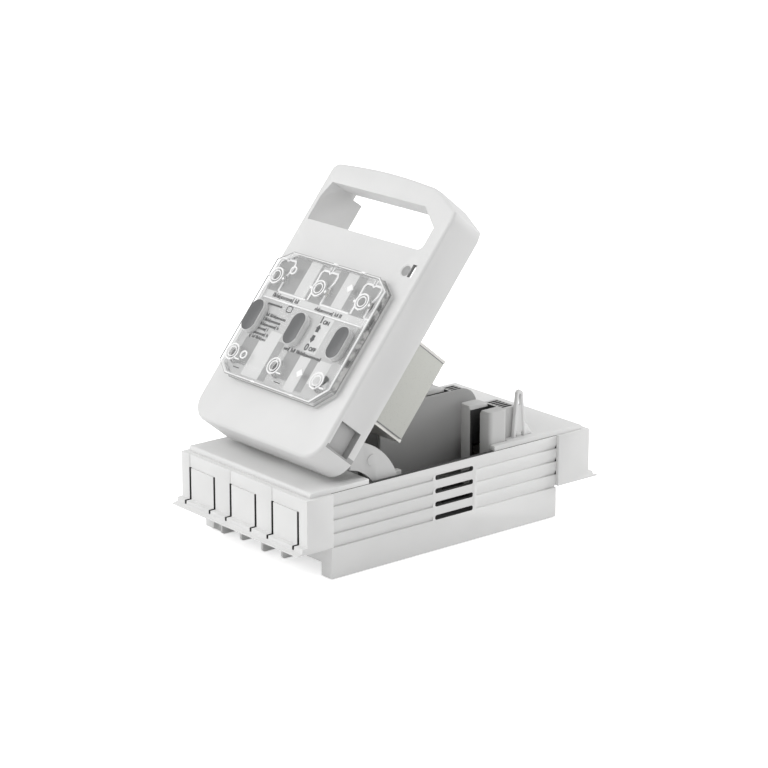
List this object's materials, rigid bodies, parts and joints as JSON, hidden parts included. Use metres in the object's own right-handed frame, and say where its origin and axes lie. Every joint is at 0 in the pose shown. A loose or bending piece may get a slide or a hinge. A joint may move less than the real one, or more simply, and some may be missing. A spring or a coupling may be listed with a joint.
{
  "type": "fuse switch disconnector",
  "caption": "Box-shaped base with terminal shrouds and a hinged handle lid that carries blade fuse links into sprung contacts to switch a circuit.",
  "frame": {"origin": "on the mounting plane under the base, at the centre of the four mounting holes", "axes": "+X across the poles to the right seen from the hinge end, +Y from the hinge end to the handle end, +Z away from the mounting plane"},
  "size_m": [0.106, 0.203, 0.1846],
  "materials": {
    "housing_plastic": "fine-grained matte, light grey",
    "shroud_plastic": "fine-grained matte, light grey",
    "partition_plastic": "matte, mid grey",
    "chamber_plastic": "matte, mid grey",
    "spring_steel": "satin, dark",
    "contact_metal": "silver-plated, satin",
    "zinc_steel": "zinc-plated, satin",
    "lid_plastic": "fine-grained matte, light grey",
    "carrier_plastic": "matte, grey",
    "label_plastic": "matte, printed grey",
    "clear_cover": "clear, glossy polycarbonate",
    "lens_plastic": "smoked, glossy",
    "fuse_ceramic": "opaque matte steatite ceramic",
    "end_plate_metal": "satin"
  },
  "bodies": {
    "base": {"base_housing": "housing_plastic", "front_cover_plate": "shroud_plastic", "rear_cover_plate": "shroud_plastic", "front_terminal_shroud": "shroud_plastic", "rear_terminal_shroud": "shroud_plastic", "left_phase_partition": "partition_plastic", "right_phase_partition": "partition_plastic", "arc_chamber_1": "chamber_plastic", "arc_chamber_2": "chamber_plastic", "arc_chamber_3": "chamber_plastic", "arc_plates_1": "spring_steel", "arc_plates_2": "spring_steel", "arc_plates_3": "spring_steel", "front_contact_guard_1": "chamber_plastic", "front_contact_guard_2": "chamber_plastic", "front_contact_guard_3": "chamber_plastic", "front_terminal_bar_1": "contact_metal", "front_terminal_bar_2": "contact_metal", "front_terminal_bar_3": "contact_metal", "rear_terminal_bar_1": "contact_metal", "rear_terminal_bar_2": "contact_metal", "rear_terminal_bar_3": "contact_metal", "front_jaw_1": "contact_metal", "front_jaw_2": "contact_metal", "front_jaw_3": "contact_metal", "rear_jaw_1": "contact_metal", "rear_jaw_2": "contact_metal", "rear_jaw_3": "contact_metal", "jaw_springs": "spring_steel", "terminal_bolts": "zinc_steel", "terminal_washers": "zinc_steel", "terminal_nuts": "zinc_steel", "seal_clip": "shroud_plastic", "hinge_pins": "zinc_steel"},
    "lid": {"lid_shell": "lid_plastic", "fuse_carrier": "carrier_plastic", "carrier_screws": "zinc_steel", "left_hinge_arm": "carrier_plastic", "right_hinge_arm": "carrier_plastic", "label_plate": "label_plastic", "window_cover": "clear_cover", "viewing_lenses": "lens_plastic", "fuse_body_1": "fuse_ceramic", "fuse_body_2": "fuse_ceramic", "fuse_body_3": "fuse_ceramic", "fuse_end_plates_1": "end_plate_metal", "fuse_end_plates_2": "end_plate_metal", "fuse_end_plates_3": "end_plate_metal", "fuse_blades_1": "contact_metal", "fuse_blades_2": "contact_metal", "fuse_blades_3": "contact_metal"}
  },
  "joints": [
    {"name": "lid_hinge", "type": "hinge", "parent": "base", "child": "lid", "pos_m": [0, -0.067, 0.0319], "axis": [1, 0, 0], "range_deg": [-50.9, 16.5]}
  ]
}
